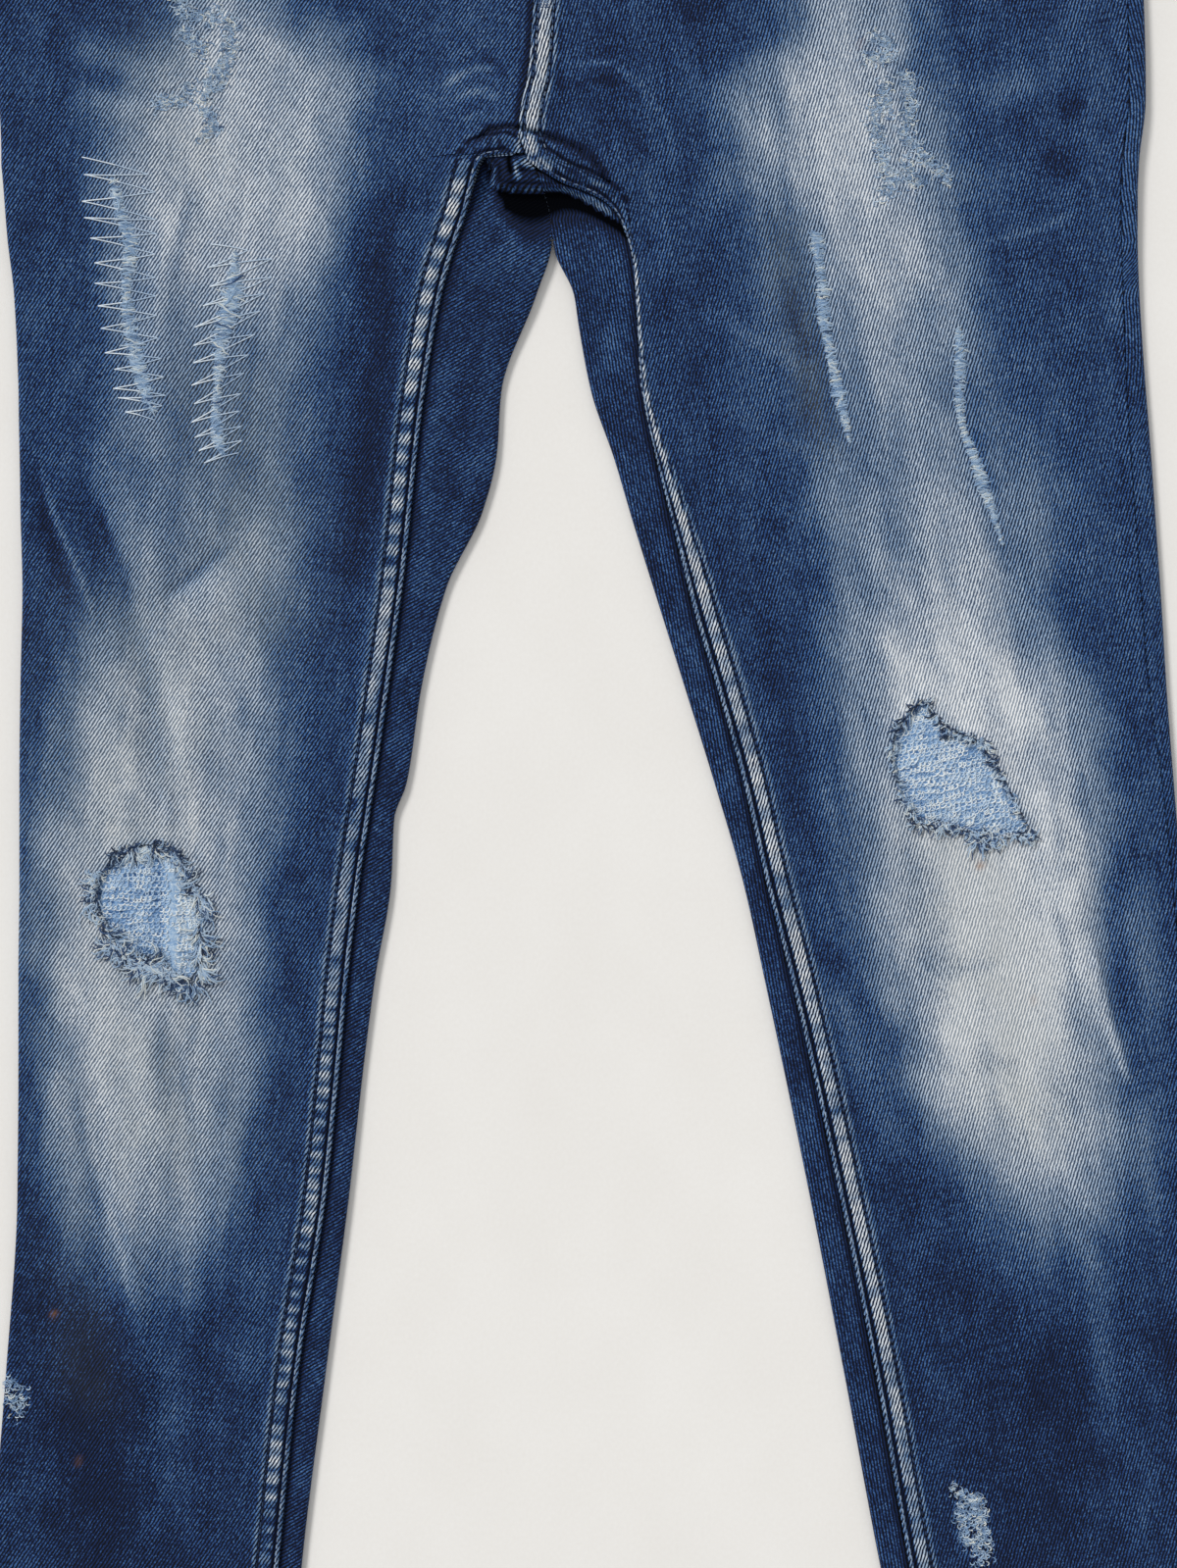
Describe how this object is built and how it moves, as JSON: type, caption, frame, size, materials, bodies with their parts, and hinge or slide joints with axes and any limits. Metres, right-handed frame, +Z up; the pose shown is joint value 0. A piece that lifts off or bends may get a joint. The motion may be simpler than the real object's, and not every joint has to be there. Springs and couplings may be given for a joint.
{
  "type": "ripped jeans",
  "caption": "Slim ripped jeans laid flat, front up, with patched torn knees, a fly with a waist button, belt loops, a back yoke and patch pockets.",
  "frame": {"origin": "middle of the garment's outline, on the surface that it lies on", "axes": "+Z up from the surface, +Y towards the waist, +X towards the wearer's left side"},
  "size_m": [0.633, 1.0654, 0.0142],
  "materials": {
    "denim": "faded indigo stretch denim, twill weave",
    "knee_cloth": "light blue ribbed cotton",
    "topstitch": "dark blue sewing thread",
    "darning": "pale blue-white sewing thread",
    "frayed_yarn": "frayed cotton yarn",
    "zip_tape": "dark woven tape",
    "button_metal": "aged, satin"
  },
  "bodies": {
    "root": {"front_right": "denim", "front_left": "denim", "back_right": "denim", "back_left": "denim", "yoke_right": "denim", "yoke_left": "denim", "waistband": "denim", "pocket_facing_right": "denim", "pocket_facing_left": "denim", "back_pocket_right": "denim", "back_pocket_left": "denim", "belt_loop_front_right": "denim", "belt_loop_front_left": "denim", "belt_loop_back_right": "denim", "belt_loop_back_left": "denim", "belt_loop_back_centre": "denim", "knee_patch_right": "knee_cloth", "knee_patch_left": "knee_cloth", "zip": "zip_tape", "button": "button_metal"}
  },
  "joints": []
}
